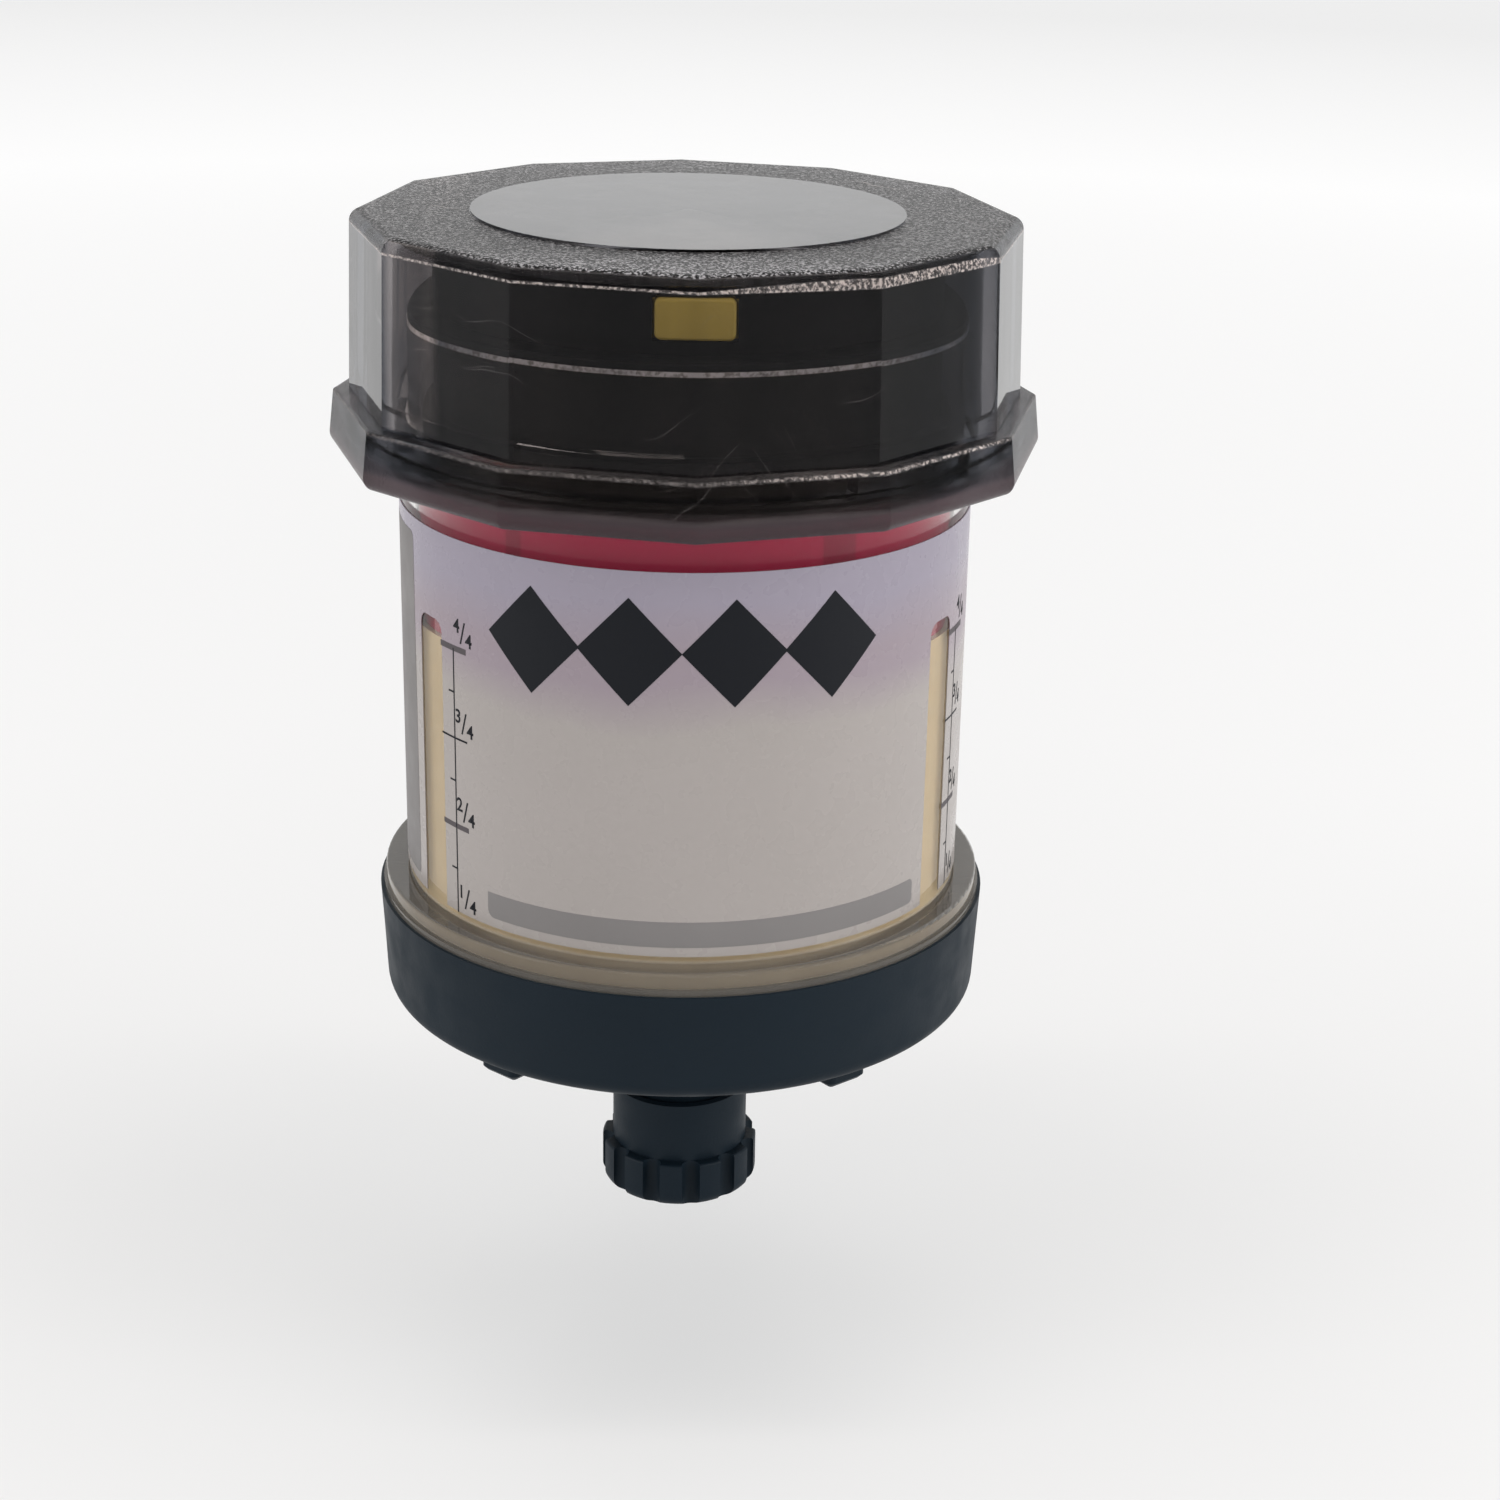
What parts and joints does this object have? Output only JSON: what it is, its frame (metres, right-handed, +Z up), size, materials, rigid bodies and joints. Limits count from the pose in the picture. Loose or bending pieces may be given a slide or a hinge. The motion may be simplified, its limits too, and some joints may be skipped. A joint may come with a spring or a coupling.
{
  "type": "automatic lubricator",
  "caption": "Motor-driven single-point grease lubricator: clear reservoir, smoke cap over the drive unit, and a threaded outlet with its screw cap.",
  "frame": {"origin": "on the axis at the shoulder of the outlet thread, where the greasing point's face comes to rest", "axes": "+Z up along the reservoir's axis, towards the cap; -Y is the front, where the button is"},
  "size_m": [0.1016, 0.1016, 0.152],
  "materials": {
    "clear_plastic": "clear, polished moulding",
    "label_film": "white film, slightly see-through, satin",
    "grease_fill": "cream grease, smooth against the wall",
    "charcoal_plastic": "blue-grey charcoal, satin",
    "seal_rubber": "black, matte",
    "piston_seal_rubber": "red, soft sheen",
    "white_acetal": "natural white, waxy",
    "brass_part": "turned brass",
    "red_plastic": "red, glossy",
    "turned_steel": "turned",
    "motor_steel": "drawn can, satin",
    "screw_steel": "zinc plated",
    "black_plastic": "black, satin",
    "cell_jacket": "plain printed sleeve",
    "nickel_plate": "nickel plated",
    "board_laminate": "green solder resist",
    "switch_plastic": "black",
    "yellow_plastic": "yellow ochre, satin",
    "smoke_plastic": "smoke grey, see-through, grained top and skirt"
  },
  "bodies": {
    "housing": {"reservoir": "clear_plastic", "label": "label_film", "grease": "grease_fill", "base": "charcoal_plastic", "base_seal": "seal_rubber", "foot_bearing": "white_acetal", "drive_housing": "black_plastic", "housing_seal": "seal_rubber", "screw_bush": "white_acetal", "chassis": "black_plastic", "chassis_screws": "screw_steel", "gear_motor": "motor_steel", "motor_screws": "screw_steel", "front_cell": "cell_jacket", "rear_cell": "cell_jacket", "battery_contacts": "nickel_plate", "circuit_board": "board_laminate", "button_switch": "switch_plastic", "drive_cover": "black_plastic", "cover_screws": "screw_steel", "cap_seal": "seal_rubber"},
    "cap": {"smoke_cap": "smoke_plastic"},
    "closure": {"outlet_cap": "charcoal_plastic", "outlet_gasket": "seal_rubber"},
    "piston": {"piston": "red_plastic", "piston_lower_seal": "piston_seal_rubber", "piston_upper_seal": "piston_seal_rubber", "piston_nut": "brass_part", "screw_wiper": "seal_rubber"},
    "lead_screw": {"lead_screw": "turned_steel", "gear_clip": "turned_steel", "driven_gear": "white_acetal"},
    "pinion": {"motor_pinion": "brass_part", "motor_shaft": "turned_steel"},
    "button": {"mode_button": "yellow_plastic"}
  },
  "joints": [
    {"name": "cap_lift", "type": "slide", "parent": "housing", "child": "cap", "axis": [0, 0, 1], "range_m": [0, 0.06]},
    {"name": "closure_unscrew", "type": "slide", "parent": "housing", "child": "closure", "axis": [0, 0, -1], "range_m": [0, 0.03]},
    {"name": "lead_screw_turn", "type": "hinge", "parent": "housing", "child": "lead_screw", "pos_m": [0, 0, 0.06], "axis": [0, 0, 1], "range_deg": [0, 2880]},
    {"name": "piston_travel", "type": "slide", "parent": "housing", "child": "piston", "axis": [0, 0, -1], "range_m": [0, 0.0528], "deforming": ["grease"]},
    {"name": "pinion_turn", "type": "hinge", "parent": "housing", "child": "pinion", "pos_m": [0, 0.021, 0.11], "axis": [0, 0, 1], "range_deg": [-11520, 0]},
    {"name": "button_press", "type": "slide", "parent": "housing", "child": "button", "axis": [0, 1, 0], "range_m": [0, 0.0012], "stiffness_N_per_m": 400, "springref_m": -0.001}
  ],
  "couplings": [
    {"joint": "lead_screw_turn", "follows": "piston_travel", "rad_per_m": 951.99},
    {"joint": "pinion_turn", "follows": "piston_travel", "rad_per_m": -3807.9}
  ]
}
